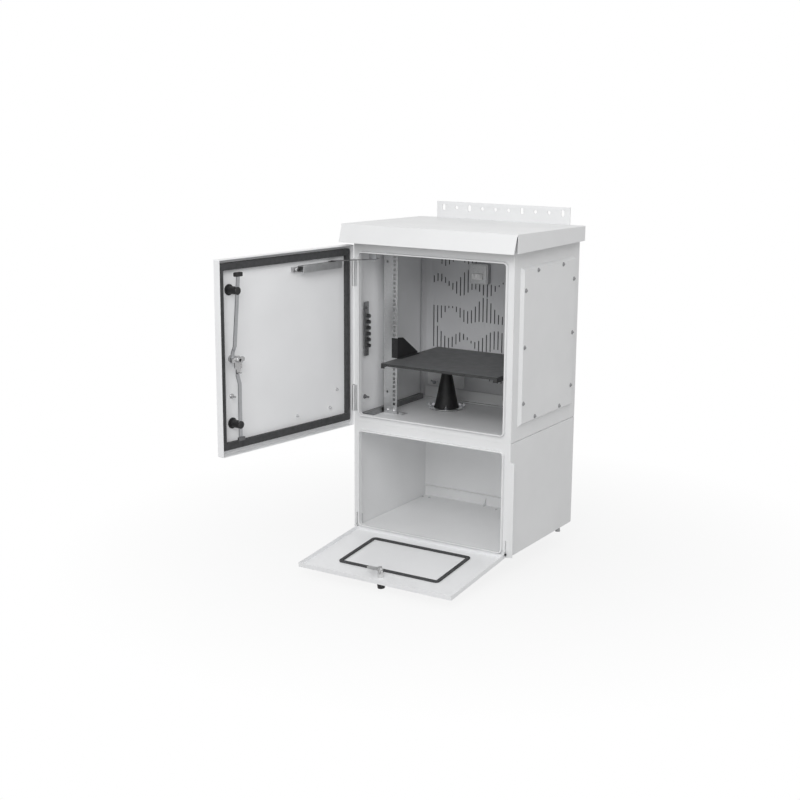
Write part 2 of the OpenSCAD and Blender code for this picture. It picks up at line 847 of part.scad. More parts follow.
module feet() {
  color("dimgray") for (p = foot_places)
    translate([p[0], p[1], 0]) rotate([180, 0, 0]) {
      cylinder(r = 4, h = foot_h - 14);
      hex_head(13, 6);
      translate([0, 0, foot_h - 14]) cylinder(r1 = 7, r2 = 9, h = 14);
    }
}

// Door hinges

hinge_pin = 2.4;
knuckle_r = hinge_out - 0.5;
frame_leaf_w = 12;
frame_leaf_t = door_gap - 0.3;
door_leaf_t = 1;
hinge_zs = [door_mid - hinge_reach, door_mid + hinge_reach];

// A knuckle with its leaf, between two heights from the hinge's middle
module knuckle(z0, z1) {
  difference() {
    union() {
      translate([pivot[0], pivot[1], z0]) cylinder(r = knuckle_r, h = z1 - z0);
      children();
    }
    translate([pivot[0], pivot[1], z0 - eps]) cylinder(r = hinge_pin + running, h = z1 - z0 + 2 * eps);
  }
}

module hinge_frame_leaves() {
  gap_z = knuckle_l / 2 + contact;
  color("lightgray") for (z = hinge_zs) {
    translate([0, 0, z]) for (span = [[-hinge_l / 2, -gap_z], [gap_z, hinge_l / 2]])
      knuckle(span[0], span[1])
        translate([pivot[0], front_y - frame_leaf_t, span[0]])
          cube([frame_leaf_w, frame_leaf_t, span[1] - span[0]]);
    translate([pivot[0] + knuckle_r + 1, front_y - frame_leaf_t, z - hinge_l / 2])
      cube([frame_leaf_w - knuckle_r - 1, frame_leaf_t, hinge_l]);
  }
}

module hinge_door_leaves() {
  leaf_d = door_t - 4;
  color("lightgray") on_door() for (z = hinge_zs) translate([0, 0, z])
    knuckle(-knuckle_l / 2, knuckle_l / 2)
      translate([door_edge_x - door_leaf_t, door_out_y + 4, -knuckle_l / 2])
        cube([door_leaf_t, leaf_d - hinge_out, knuckle_l]);
}

module hinge_pins() {
  color("silver") for (z = hinge_zs)
    translate([pivot[0], pivot[1], z - hinge_l / 2 - 1]) {
      cylinder(r = hinge_pin, h = hinge_l + 2);
      translate([0, 0, hinge_l + 1 + contact]) cylinder(r = hinge_pin + 0.8, h = 1.5);
    }
}

// Door

module door_leaf() {
  color("gainsboro") difference() {
    door_face() translate([door_w / 2, door_mid, 0])
      linear_extrude(door_t) rounded_plate(door_w, door_h, 3);
    door_face(door_skin) translate([door_w / 2, door_mid, 0]) linear_extrude(door_t)
      rounded_plate(door_w - 2 * door_skin, door_h - 2 * door_skin, 2);
    door_face(-eps) translate([lock_s, lock_z, 0]) cylinder(r = lock_r, h = 2 * door_skin + eps);
    on_door() for (z = hinge_zs)
      translate([pivot[0], pivot[1], z - hinge_l / 2 - 2]) cylinder(r = knuckle_r + 0.5, h = hinge_l + 5);
  }
}

module door_gasket() {
  w = door_w - 2 * gasket_inset;
  z0 = upper_bottom - gasket_w + 1;
  z1 = upper_top + gasket_w / 2 + 1;
  color("black") door_face(door_skin) translate([door_w / 2, (z0 + z1) / 2, 0])
    linear_extrude(gasket_n - door_skin) difference() {
      rounded_plate(w, z1 - z0, 5);
      rounded_plate(w - 2 * gasket_side_w, z1 - z0 - 2 * gasket_w, 3);
    }
}

// Guide bosses with slots that the rods slide through, the upper one set out to the sloping rod
module rod_guides() {
  boss_n = rod_n + 4;
  color("black") door_face(door_skin) for (i = [-1, 1])
    translate([lock_s + 1.5 * (i + 1), lock_z + guide_lift + i * guide_reach, 0]) difference() {
      union() {
        cylinder(r = guide_r + 5, h = 3);
        cylinder(r = guide_r, h = boss_n - door_skin - 2);
        translate([0, 0, boss_n - door_skin - 2]) cylinder(r1 = guide_r, r2 = guide_r - 2, h = 2);
      }
      translate([0, 0, rod_n - door_skin - rod_t / 2])
        cube([rod_w + 6, 3 * guide_r, rod_t + 1], center = true);
    }
}

rosette_t = 6;

module lock_body() {
  color("silver") door_face(-rosette_t) translate([lock_s, lock_z, 0]) difference() {
    union() {
      cylinder(r = lock_r + 12, h = rosette_t);
      cylinder(r = lock_r, h = rosette_t + rod_seat_n - rod_t - 0.5);
      cylinder(r = lock_r - 3, h = rosette_t + cam_n - contact);
    }
    translate([0, 0, -eps]) cylinder(r = 5 + running, h = rosette_t + cam_n + 2 * eps);
  }
}

module turn_handle() {
  hub_h = 22;
  color("dimgray") door_face(-rosette_t - contact) translate([lock_s, lock_z, 0]) {
    cylinder(r = 5, h = rosette_t + contact + cam_n + rod_t + 6);
    translate([0, 0, -hub_h]) cylinder(r1 = 11, r2 = 15, h = hub_h);
    translate([-handle_l / 2 + 8, 0, -hub_h]) linear_extrude(9) bar_with_round_ends(handle_l, 20);
  }
}

module lock_cam() {
  tongue_l = 42;
  color("silver") door_face(cam_n) translate([lock_s, lock_z, 0]) difference() {
    union() {
      linear_extrude(rod_t) {
        circle(13);
        translate([0, -10]) rounded_plate(30, 38, 8);
        bar_with_round_ends(2 * rod_travel + 14, 14);
        translate([0, -tongue_l / 2]) rotate(90) bar_with_round_ends(tongue_l, 15);
      }
      translate([-7.5, -tongue_l, 0]) cube([15, 3, 9]);
    }
    translate([0, 0, -eps]) cylinder(r = 5 + running, h = rod_t + 2 * eps);
  }
}

module lock_nut() {
  color("silver") door_face(cam_n + rod_t) translate([lock_s, lock_z, 0]) difference() {
    union() {
      cylinder(r = 10, h = 1.5);
      translate([0, 0, 1.5]) hex_head(15, 7);
    }
    translate([0, 0, -eps]) cylinder(r = 5 + running, h = 12);
  }
}

// Square to the way from p to q
function side_of(p, q) = let(d = q - p) [-d[1], d[0]] / norm(d);

// A flat bar along three points of place and height
module rod_strip(line) {
  n0 = side_of(line[0], line[1]) * rod_w / 2;
  n1 = side_of(line[1], line[2]) * rod_w / 2;
  mitre = (n0 + n1) / (1 + (n0 * n1) / (n0 * n0));
  polygon([line[0] - n0, line[1] - mitre, line[2] - n1, line[2] + n1, line[1] + mitre, line[0] + n0]);
}

// Side view of a rod as height n over height, stepping in towards the lock between two heights
module rod_profile(z_lock, z_step0, z_step1, z_end) {
  polygon([
    [rod_seat_n - rod_t, z_lock], [rod_seat_n, z_lock], [rod_seat_n, z_step0],
    [rod_n, z_step1], [rod_n, z_end], [rod_n - rod_t, z_end],
    [rod_n - rod_t, z_step1], [rod_seat_n - rod_t, z_step0]
  ]);
}

// A rod along three points, with a round eye for its pin at the first
module rod(line, z_lock, z_step0, z_step1, z_end) {
  intersection() {
    door_face() translate([0, lock_z, 0]) linear_extrude(rod_n + 2) rod_strip(line);
    door_face() translate([lock_s - 60, lock_z, 0]) rotate([0, -90, 180]) linear_extrude(120)
      mirror([0, 1, 0]) rod_profile(z_lock, z_step0, z_step1, z_end);
  }
  door_face(rod_seat_n - rod_t) translate([line[0][0], lock_z + line[0][1], 0])
    cylinder(r = rod_w / 2 + 1.5, h = rod_t);
}

module upper_rod() {
  line = [[lock_s + rod_travel, 0], [lock_s + rod_travel - 2, 32], [lock_s - 2, rod_reach - 6]];
  color("silver") rod(line, -rod_w, 24, 44, rod_reach);
}

module lower_rod() {
  line = [[lock_s - rod_travel, 0], [lock_s, -26], [lock_s, -rod_reach_down + 4]];
  color("silver") rod(line, rod_w, -50, -72, -rod_reach_down);
}

module upper_rod_cap() {
  cap_h = 13;
  wall_n = 3;
  color("black") door_face(rod_n - rod_t - wall_n)
    translate([lock_s - 2, lock_z + rod_reach - 2, 0]) difference() {
      linear_extrude(rod_t + 2 * wall_n) rounded_plate(30, cap_h, 3);
      translate([-rod_w / 2 - 0.6, -cap_h, wall_n]) cube([rod_w + 1.2, cap_h + 2, rod_t]);
    }
}

module lower_rod_foot() {
  color("gray") door_face(rod_n) translate([lock_s, lock_z - rod_reach_down + 6, 0])
    linear_extrude(4) rounded_plate(28, 12, 3);
}

module stay_channel() {
  top = upper_top - channel_down;
  color("lightgray") door_face(door_skin) difference() {
    translate([channel_start, top - channel_h, 0]) cube([channel_l, channel_h, 26]);
    translate([channel_start - eps, top - channel_h + 2, 2]) cube([channel_l + 2 * eps, channel_h - 4, 22]);
    translate([channel_start + 4, top - 3, slider_n - door_skin - 3]) cube([channel_l - 8, 4, 6]);
  }
}

module stay_end_block() {
  top = upper_top - channel_down;
  color("gray") door_face(door_skin) {
    translate([channel_start + channel_l, top - channel_h + 4, 0]) cube([30, channel_h - 8, 12]);
    translate([channel_start + channel_l + 18, top - channel_h / 2, 12]) button_screw(6, 4);
  }
}

module door_earth_stud() {
  color("silver") door_face(door_skin) translate([lock_s, door_mid - 121, 0]) earth_stud(18);
}

// Places of the small studs on the door's inner face, from its hinge edge and its foot
door_stud_places = [[62, 128], [96, 72], [248, 70]];

module door_studs() {
  color("silver") door_face(door_skin) for (p = door_stud_places)
    translate([p[0], door_z + p[1], 0]) {
      cylinder(r = 4.5, h = 3);
      cylinder(r = 2, h = 9);
    }
}

// Door stay

stay_pivot = [-opening_w / 2 + stay_x, front_y + stay_y];
slider_n = door_skin + 12;
stay_z = upper_top - channel_down + 2;

function turned(p, a) = [p[0] * cos(a) - p[1] * sin(a), p[0] * sin(a) + p[1] * cos(a)];
slider_closed = [door_edge_x + slider_s, door_out_y + slider_n];
slider_place = pivot + turned(slider_closed - pivot, -door_open);
arm_line = slider_place - stay_pivot;
arm_l = norm(arm_line);
arm_angle = atan2(arm_line[1], arm_line[0]);

// Hangs behind the lip from the back of the front sheet and carries the arm's pin
module stay_bracket() {
  sheet = 2;
  half_w = 14;
  drop_y = front_y + lip_depth + 0.5;
  step_z = upper_top + 12;
  tab_z = stay_z + 2.5;
  wall_y = front_y + wall;
  color("silver") rotate([90, 0, 90]) translate([0, 0, stay_pivot[0] - half_w])
    linear_extrude(2 * half_w) polygon([
      [wall_y, step_z + 22], [wall_y, step_z], [drop_y, step_z], [drop_y, tab_z],
      [stay_pivot[1] + 9, tab_z], [stay_pivot[1] + 9, tab_z + sheet], [drop_y + sheet, tab_z + sheet],
      [drop_y + sheet, step_z + sheet], [wall_y + sheet, step_z + sheet], [wall_y + sheet, step_z + 22]
    ]);
  color("silver") translate([stay_pivot[0], stay_pivot[1], stay_z - 2.5]) {
    cylinder(r = 3, h = 6);
    cylinder(r = 5, h = 2);
  }
}

module stay_arm() {
  color("silver") translate([stay_pivot[0], stay_pivot[1], stay_z]) rotate(arm_angle)
    linear_extrude(2) difference() {
      translate([arm_l / 2, 0]) bar_with_round_ends(arm_l + 10, 10);
      circle(3 + running);
    }
}

// A cap above the channel, a neck through its slot and a shoe inside it
module stay_slider() {
  top = upper_top - channel_down;
  cap_t = 1.4;
  color("dimgray") door_face(slider_n) translate([slider_s, top, 0]) {
    translate([0, contact + cap_t / 2, 0]) cube([24, cap_t, 12], center = true);
    translate([0, -1, 0]) cube([22, 4, 5], center = true);
    translate([0, -2 - contact - 4, 0]) cube([22, 8, 14], center = true);
  }
}

// Lower bay

tray_t = 1.5;

module lower_floor_tray() {
  w = body_w - 2 * wall - 2;
  ledge = 40;
  y0 = front_y + 36;
  back = back_y - wall;
  color("gainsboro") {
    translate([-w / 2, y0, wall]) cube([w, back - y0, tray_t]);
    translate([-w / 2, back - tray_t, wall]) cube([w, tray_t, ledge]);
    translate([-w / 2, back - 10, wall + ledge]) cube([w, 10, tray_t]);
    for (x = [-38, side_x - 100])
      translate([x, back - tray_t, wall + tray_t - 0.5]) rotate([90, 0, 90]) linear_extrude(tray_t)
        polygon([[0.5, 0], [-24, 0], [0.5, ledge - 6]]);
  }
}

module lower_floor_bolts() {
  color("silver") for (x = [-side_x + 38, -side_x + 10, 20, side_x - 40])
    translate([x, back_y - 32, wall + tray_t]) button_screw(4, 3);
}

// Drawn for the right-hand side: a plate that comes through the slit and carries the flap's pin
module flap_hinge_bracket() {
  difference() {
    union() {
      translate([lug_x, flap_pivot[0], flap_pivot[1]]) rotate([0, 90, 0])
        cylinder(r = lug_r - contact, h = lug_t);
      translate([lug_x, flap_pivot[0], slit_z[0] + contact])
        cube([lug_t, flap_hinge_out + 34, 2 * lug_r - 1]);
      translate([lug_x, front_y + wall + 1, slit_z[0] + contact]) cube([lug_t, 30, 40]);
      translate([lug_x, front_y + wall + 12, slit_z[0] + 4]) cube([side_x - wall - lug_x, 16, 34]);
    }
    translate([lug_x - eps, flap_pivot[0], flap_pivot[1]]) rotate([0, 90, 0])
      cylinder(r = flap_pin_r + running, h = lug_t + 2 * eps);
  }
}

module flap_hinge_brackets() {
  color("silver") for (i = [0, 1]) mirror([i, 0, 0]) flap_hinge_bracket();
}

// Flap

flap_lock_r = 10;

// A pan with its root wall just behind the hinge line, and an ear for the pin at each end of the root
module flap_leaf() {
  color("gainsboro") flap_face(-flap_t) difference() {
    union() {
      difference() {
        translate([-flap_w / 2, -flap_skin, 0]) cube([flap_w, flap_l + flap_skin, flap_t]);
        translate([-flap_w / 2 + flap_skin, 0, flap_skin])
          cube([flap_w - 2 * flap_skin, flap_l - flap_skin, flap_t]);
      }
      for (i = [-1, 1]) translate([i * (flap_w / 2 - ear_t / 2), 0, flap_t]) rotate([0, 90, 0])
        cylinder(r = ear_r, h = ear_t, center = true);
    }
    translate([-side_x, 0, flap_t]) rotate([0, 90, 0]) cylinder(r = flap_pin_r + running, h = body_w);
    translate([0, flap_lock_s, -eps]) cylinder(r = flap_lock_r, h = flap_skin + 2 * eps);
  }
}

module flap_hinge_pins() {
  color("dimgray") translate([0, flap_pivot[0], flap_pivot[1]]) for (i = [0, 1]) mirror([i, 0, 0])
    rotate([0, 90, 0]) {
      translate([0, 0, flap_w / 2 - ear_t - 1]) cylinder(r = flap_pin_r, h = ear_t + lug_t + 2);
      translate([0, 0, lug_x + lug_t + 0.1]) cylinder(r = ear_r, h = 3);
    }
}

module flap_gasket() {
  color("dimgray") flap_face(-flap_t + flap_skin) translate([0, loop_s + loop_l / 2, 0])
    strip_loop(loop_w, loop_l, 14, 12.5, 5);
}

flap_shaft_r = 4;
flap_rosette_t = 3;

module flap_lock_body() {
  color("silver") flap_face(-flap_t) translate([0, flap_lock_s, 0]) difference() {
    union() {
      translate([0, 0, -flap_rosette_t]) cylinder(r = flap_lock_r + 5, h = flap_rosette_t);
      cylinder(r = flap_lock_r, h = flap_t + flap_cam_n - contact);
    }
    translate([0, 0, -flap_rosette_t - eps])
      cylinder(r = flap_shaft_r + running, h = flap_t + flap_cam_n + flap_rosette_t + 2 * eps);
  }
}

// Outer knob, shaft, cam and nut turn together
module flap_lock() {
  knob_h = 32;
  cam_w = 15;
  color("silver") flap_face(flap_cam_n) translate([0, flap_lock_s, 0]) {
    translate([0, 0, -flap_cam_n - flap_t - flap_rosette_t - contact]) {
      cylinder(r = flap_shaft_r, h = flap_cam_n + flap_t + flap_rosette_t + 1);
      translate([0, 0, -knob_h]) cylinder(r1 = 12, r2 = 14, h = knob_h);
    }
    translate([-flap_cam_l / 2 + cam_w / 2, 0, 0]) linear_extrude(3) bar_with_round_ends(flap_cam_l, cam_w);
    translate([0, 0, 3]) hex_head(14, 6);
  }
}

upper_housing();
lower_housing();
roof();
rear_bracket();
side_cover();
side_cover_seal();
side_cover_screws();
back_panel();
rear_ledge();
blank_plate();
wing_screw();
junction_box();
junction_box_socket();
left_rail();
right_rail();
rail_feet();
rail_bolts();
left_depth_rail();
right_depth_rail();
shelf_tray();
left_shelf_bracket();
right_shelf_bracket();
shelf_screws();
cable_cone();
cone_ring();
cone_nuts();
earth_bar();
earth_bar_screws();
earth_bar_spacers();
wall_earth_stud();
feet();
hinge_frame_leaves();
stay_bracket();
flap_hinge_brackets();
lower_floor_tray();
lower_floor_bolts();
door_leaf();
door_gasket();
hinge_door_leaves();
hinge_pins();
rod_guides();
lock_body();
stay_channel();
stay_end_block();
door_earth_stud();
door_studs();
turn_handle();
lock_cam();
lock_nut();
upper_rod();
upper_rod_cap();
lower_rod();
lower_rod_foot();
stay_slider();
stay_arm();
flap_leaf();
flap_gasket();
flap_hinge_pins();
flap_lock_body();
flap_lock();
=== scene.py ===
"""Looks of an outdoor equipment cabinet with its door and flap open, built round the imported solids."""
import bpy
import json
import math
from mathutils import Matrix, Vector


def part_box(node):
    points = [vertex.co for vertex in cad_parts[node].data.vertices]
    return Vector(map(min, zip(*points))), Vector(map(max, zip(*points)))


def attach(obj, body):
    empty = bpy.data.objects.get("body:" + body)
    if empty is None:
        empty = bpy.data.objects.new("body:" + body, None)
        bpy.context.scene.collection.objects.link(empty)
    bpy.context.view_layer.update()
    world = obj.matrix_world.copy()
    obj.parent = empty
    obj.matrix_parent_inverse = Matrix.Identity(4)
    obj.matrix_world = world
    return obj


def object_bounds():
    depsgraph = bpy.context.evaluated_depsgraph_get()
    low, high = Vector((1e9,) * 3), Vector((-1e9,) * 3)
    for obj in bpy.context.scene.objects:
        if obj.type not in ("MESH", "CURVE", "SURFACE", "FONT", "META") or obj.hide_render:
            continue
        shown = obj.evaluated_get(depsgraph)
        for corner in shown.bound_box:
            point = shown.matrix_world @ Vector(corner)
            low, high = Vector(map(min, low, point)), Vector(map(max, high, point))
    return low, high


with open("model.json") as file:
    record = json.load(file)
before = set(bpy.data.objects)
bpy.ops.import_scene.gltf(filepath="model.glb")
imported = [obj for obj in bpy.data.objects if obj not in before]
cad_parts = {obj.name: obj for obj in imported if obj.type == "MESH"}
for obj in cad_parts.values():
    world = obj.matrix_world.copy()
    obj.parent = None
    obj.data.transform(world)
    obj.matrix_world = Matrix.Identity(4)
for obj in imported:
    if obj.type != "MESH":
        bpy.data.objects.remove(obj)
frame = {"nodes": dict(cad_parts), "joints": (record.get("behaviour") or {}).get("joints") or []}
cad_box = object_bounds()
nodes = frame["nodes"]


# Node trees

def math_node(tree, operation, *values):
    node = tree.nodes.new("ShaderNodeMath")
    node.operation = operation
    for place, value in enumerate(values):
        if isinstance(value, (int, float)):
            node.inputs[place].default_value = value
        else:
            tree.links.new(value, node.inputs[place])
    return node.outputs[0]


def mixed_shaders(tree, factor, first, second):
    node = tree.nodes.new("ShaderNodeMixShader")
    for place, value in enumerate((factor, first, second)):
        tree.links.new(value, node.inputs[place])
    return node.outputs[0]


def shade(colour, factor):
    return tuple(c * factor for c in colour)


class Nodes:
    """A material's node tree, with short calls for the nodes used here."""

    def __init__(self, name):
        self.mat = bpy.data.materials.new(name)
        self.mat.use_nodes = True
        self.tree = self.mat.node_tree
        self.shader = self.tree.nodes["Principled BSDF"]
        texture_coordinate = self.tree.nodes.new("ShaderNodeTexCoord")
        self.coords = texture_coordinate.outputs["Object"]
        self.normal = texture_coordinate.outputs["Normal"]

    def link(self, a, b):
        self.tree.links.new(a, b)

    def stretched(self, scale):
        node = self.tree.nodes.new("ShaderNodeMapping")
        node.inputs["Scale"].default_value = scale
        self.link(self.coords, node.inputs["Vector"])
        return node.outputs["Vector"]

    def noise(self, scale, detail=3.0, vector=None):
        node = self.tree.nodes.new("ShaderNodeTexNoise")
        node.inputs["Scale"].default_value = scale
        node.inputs["Detail"].default_value = detail
        self.link(vector or self.coords, node.inputs["Vector"])
        return node.outputs["Fac"]

    def cells(self, scale):
        node = self.tree.nodes.new("ShaderNodeTexVoronoi")
        node.inputs["Scale"].default_value = scale
        self.link(self.coords, node.inputs["Vector"])
        return node.outputs["Color"]

    def axis(self, name, vector=None):
        node = self.tree.nodes.new("ShaderNodeSeparateXYZ")
        self.link(vector or self.coords, node.inputs["Vector"])
        return node.outputs[name]

    def math(self, operation, *values):
        return math_node(self.tree, operation, *values)

    def mixed(self, factor, first, second):
        """Two colours mixed. A colour mix has its colours at inputs 6 and 7, and its result at output 2."""
        node = self.tree.nodes.new("ShaderNodeMix")
        node.data_type = "RGBA"
        self.link(factor, node.inputs["Factor"])
        self.link(first, node.inputs[6])
        self.link(second, node.inputs[7])
        return node.outputs[2]

    def spread(self, value, low, high, start=0.3, end=0.7):
        """A value's range from start to end, laid out from low to high."""
        node = self.tree.nodes.new("ShaderNodeMapRange")
        node.inputs["From Min"].default_value = start
        node.inputs["From Max"].default_value = end
        node.inputs["To Min"].default_value = low
        node.inputs["To Max"].default_value = high
        self.link(value, node.inputs["Value"])
        return node.outputs["Result"]

    def between(self, value, first, second, start=0.3, end=0.7):
        """A colour that runs from first to second as the value goes from start to end."""
        node = self.tree.nodes.new("ShaderNodeValToRGB")
        for stop, place, colour in zip(node.color_ramp.elements, (start, end), (first, second)):
            stop.position = place
            stop.color = (*colour, 1)
        self.link(value, node.inputs["Fac"])
        return node.outputs["Color"]

    def drift(self, colour, spread, scale=5.0):
        """A colour with slow drifts of tone."""
        return self.between(self.noise(scale), shade(colour, 1 - spread), shade(colour, 1 + spread))

    def colour(self, value):
        self.link(value, self.shader.inputs["Base Color"])

    def rough(self, value):
        self.link(value, self.shader.inputs["Roughness"])

    def bump(self, height, distance):
        node = self.tree.nodes.new("ShaderNodeBump")
        node.inputs["Distance"].default_value = distance
        node.inputs["Strength"].default_value = 1.0
        self.link(height, node.inputs["Height"])
        self.link(node.outputs["Normal"], self.shader.inputs["Normal"])


# Kinds of material

def coat_surface(n, rough=(0.36, 0.46), grain=900.0, depth=0.00004):
    """Baked paint's gloss, and its fine orange peel."""
    n.rough(n.spread(n.noise(scale=38.0), *rough))
    n.bump(n.noise(grain, detail=2.0), depth)
    n.shader.inputs["Specular IOR Level"].default_value = 0.45
    return n.mat


def powder_coat(name, colour, rough=(0.36, 0.46), spread=0.025):
    """Baked paint of one colour."""
    n = Nodes(name)
    n.colour(n.drift(colour, spread))
    return coat_surface(n, rough)


def housing_paint_and_light(name, outer, lit_inner, box, rear=None):
    """A housing's paint with painted light and shade: a lighter coat within its walls that lifts the shade
    inside, and painted deep shade past rear, behind the panel.
    """
    n = Nodes(name)
    half_wall = 0.0007
    deep_shade = (0.045, 0.046, 0.048)
    across = n.math("LESS_THAN", n.math("ABSOLUTE", n.axis("X")), -box[0][0] - half_wall)
    along = n.math("LESS_THAN", n.math("ABSOLUTE", n.axis("Y")), box[1][1] - half_wall)
    within = n.math("MULTIPLY", across, along)
    # Painted light: the lighter coat within the walls stands in for light that doesn't reach inside the
    # bay.
    tone = n.mixed(within, n.drift(outer, spread=0.025), n.drift(lit_inner, spread=0.02))
    # Painted shade: past rear, the wall behind the slotted panel turns near black.
    if rear is not None:
        behind = n.math("MULTIPLY", within, n.math("GREATER_THAN", n.axis("Y"), rear))
        tone = n.mixed(behind, tone, n.drift(deep_shade, spread=0.2))
    n.colour(tone)
    return coat_surface(n)


def shelf_coat_painted_sheen(name, side, sheen_top):
    """Textured dark paint, with painted sheen: lighter on the face that things stand on."""
    n = Nodes(name)
    least_rise = 0.7
    # Painted sheen: faces turned up take the lighter tone.
    faces_up = n.math("GREATER_THAN", n.axis("Z", n.normal), least_rise)
    n.colour(n.mixed(faces_up, n.drift(side, spread=0.04), n.drift(sheen_top, spread=0.05)))
    return coat_surface(n, rough=(0.5, 0.6), grain=620.0, depth=0.00002)


def plated(name, colour, rough, grain=(1, 1, 1), flake=260.0, spread=0.08):
    """Plated or rolled metal: small patches of tone over a grain."""
    n = Nodes(name)
    n.shader.inputs["Metallic"].default_value = 1.0
    dark, light = shade(colour, 1 - spread), shade(colour, 1 + spread)
    n.colour(n.between(n.cells(flake), dark, light, start=0.1, end=0.9))
    n.rough(n.spread(n.noise(scale=60.0, detail=4.0, vector=n.stretched(grain)), *rough))
    n.bump(n.noise(scale=420.0, vector=n.stretched(grain)), distance=0.00003)
    return n.mat


def rubber(name, colour, rough=(0.62, 0.8), grain=1500.0, depth=0.00008):
    """Foamed or moulded rubber and matt plastic: a fine open grain."""
    n = Nodes(name)
    dark, light = shade(colour, 0.85), shade(colour, 1.2)
    n.colour(n.between(n.noise(scale=80.0, detail=5.0), dark, light))
    n.rough(n.spread(n.noise(scale=45.0), *rough))
    n.bump(n.noise(grain, detail=4.0), depth)
    n.shader.inputs["Specular IOR Level"].default_value = 0.35
    return n.mat


# The cabinet's materials

CABINET_GREY = (0.79, 0.795, 0.80)
DOOR_GREY = (0.87, 0.875, 0.885)
# Painted light: the bay white is lifted above the cabinet's grey to brighten the shaded bays.
LIT_BAY_WHITE = (0.92, 0.925, 0.93)
BLACK = (0.022, 0.022, 0.023)

paint = powder_coat("cabinet_paint", CABINET_GREY)
roof_paint = powder_coat("roof_paint", (0.80, 0.805, 0.81))
door_paint = powder_coat("door_paint", DOOR_GREY)
# Painted light in the housings: lighter colours within the walls, and painted shade behind the panel.
upper_paint_and_light = housing_paint_and_light("upper_paint_and_light", CABINET_GREY, DOOR_GREY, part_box("upper_housing"),
                           rear=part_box("back_panel")[1][1])
lower_paint_and_light = housing_paint_and_light("lower_paint_and_light", CABINET_GREY, LIT_BAY_WHITE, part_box("lower_housing"))
# The tray takes the lifted bay white, as painted light.
tray_paint_and_light = powder_coat("tray_paint_and_light", LIT_BAY_WHITE)
panel_paint = powder_coat("panel_paint", (0.66, 0.665, 0.68), rough=(0.38, 0.5))
# The shelf's dark paint has a painted sheen on its upward faces.
shelf_paint_and_sheen = shelf_coat_painted_sheen("dark_paint", side=(0.03, 0.031, 0.032), sheen_top=(0.135, 0.137, 0.140))
black_paint = powder_coat("black_paint", BLACK, rough=(0.48, 0.58), spread=0.04)
zinc = plated("zinc", (0.70, 0.705, 0.71), (0.34, 0.46), grain=(1, 1, 0.15), spread=0.035)
rod_steel = plated("rod_steel", (0.42, 0.425, 0.44), (0.32, 0.44), grain=(1, 1, 0.1), spread=0.05)
gunmetal = plated("dark_plating", (0.16, 0.16, 0.165), (0.3, 0.42), spread=0.06)
bright = plated("bright_plating", (0.72, 0.72, 0.715), (0.14, 0.24), flake=90.0, spread=0.03)
cast = plated("cast_zinc", (0.46, 0.46, 0.465), (0.2, 0.34), flake=120.0, spread=0.05)
box_steel = plated("box_steel", (0.52, 0.525, 0.53), (0.4, 0.52))
steel = plated("rolled_steel", (0.30, 0.303, 0.308), (0.34, 0.5), grain=(0.2, 1, 1))
foam = rubber("foam_seal", (0.052, 0.053, 0.055))
cone_rubber = rubber("cone_rubber", (0.018, 0.018, 0.019), (0.42, 0.56), grain=700.0, depth=0.00005)
plastic = rubber("black_plastic", BLACK, (0.4, 0.52), grain=900.0, depth=0.00004)
socket = rubber("socket_plastic", (0.92, 0.92, 0.92), (0.28, 0.36), grain=600.0, depth=0.00002)

DRESS = [
    (paint, ["side_cover", "rear_ledge"]),
    (door_paint, ["door_leaf", "flap_leaf"]),
    (tray_paint_and_light, ["lower_floor_tray"]),
    (roof_paint, ["roof", "rear_bracket", "blank_plate"]),
    (upper_paint_and_light, ["upper_housing"]),
    (lower_paint_and_light, ["lower_housing"]),
    (panel_paint, ["back_panel"]),
    (shelf_paint_and_sheen, ["shelf_tray"]),
    (black_paint, ["left_shelf_bracket", "right_shelf_bracket", "shelf_screws"]),
    (zinc, ["left_rail", "right_rail", "rail_feet", "rail_bolts", "cone_ring", "stay_channel",
            "hinge_frame_leaves", "hinge_door_leaves", "flap_hinge_brackets", "lower_floor_bolts",
            "door_studs", "earth_bar_spacers"]),
    (rod_steel, ["upper_rod", "lower_rod", "stay_bracket", "hinge_pins", "wing_screw", "cone_nuts"]),
    (box_steel, ["junction_box"]),
    (cast, ["lock_body", "lock_cam", "lock_nut", "door_earth_stud", "stay_end_block"]),
    (gunmetal, ["lower_rod_foot", "earth_bar_screws", "stay_arm"]),
    (steel, ["earth_bar", "left_depth_rail", "right_depth_rail", "wall_earth_stud", "side_cover_screws",
             "feet"]),
    (bright, ["flap_lock_body", "flap_lock"]),
    (foam, ["door_gasket", "flap_gasket", "side_cover_seal"]),
    (cone_rubber, ["cable_cone"]),
    (plastic, ["rod_guides", "upper_rod_cap", "turn_handle", "stay_slider", "flap_hinge_pins"]),
    (socket, ["junction_box_socket"]),
]

# Radius of the broken edges, in metres, where it isn't the plain one
PLAIN_EDGE = 0.0003
EDGES = {"upper_housing": 0.0008, "lower_housing": 0.0008, "roof": 0.0009, "side_cover": 0.0008,
         "door_leaf": 0.0008, "flap_leaf": 0.0006, "door_gasket": 0.003, "flap_gasket": 0.0016,
         "shelf_tray": 0.0007, "left_rail": 0.0004, "right_rail": 0.0004, "rear_bracket": 0.0,
         "back_panel": 0.0}
SHARP_ANGLE = math.radians(38)


def finish_node(obj, mat, edge):
    """Paints a solid and breaks its sharp edges."""
    obj.data.materials.clear()
    obj.data.materials.append(mat)
    for p in obj.data.polygons:
        p.use_smooth = True
        p.material_index = 0
    weld = obj.modifiers.new("weld", "WELD")
    weld.merge_threshold = 0.00001
    if edge:
        bevel = obj.modifiers.new("edges", "BEVEL")
        bevel.width = edge
        bevel.segments = 2
        bevel.limit_method = "ANGLE"
        bevel.angle_limit = SHARP_ANGLE
    flat = obj.modifiers.new("normals", "WEIGHTED_NORMAL")
    flat.weight = 80


for mat, names in DRESS:
    for name in names:
        finish_node(nodes[name], mat, EDGES.get(name, PLAIN_EDGE))


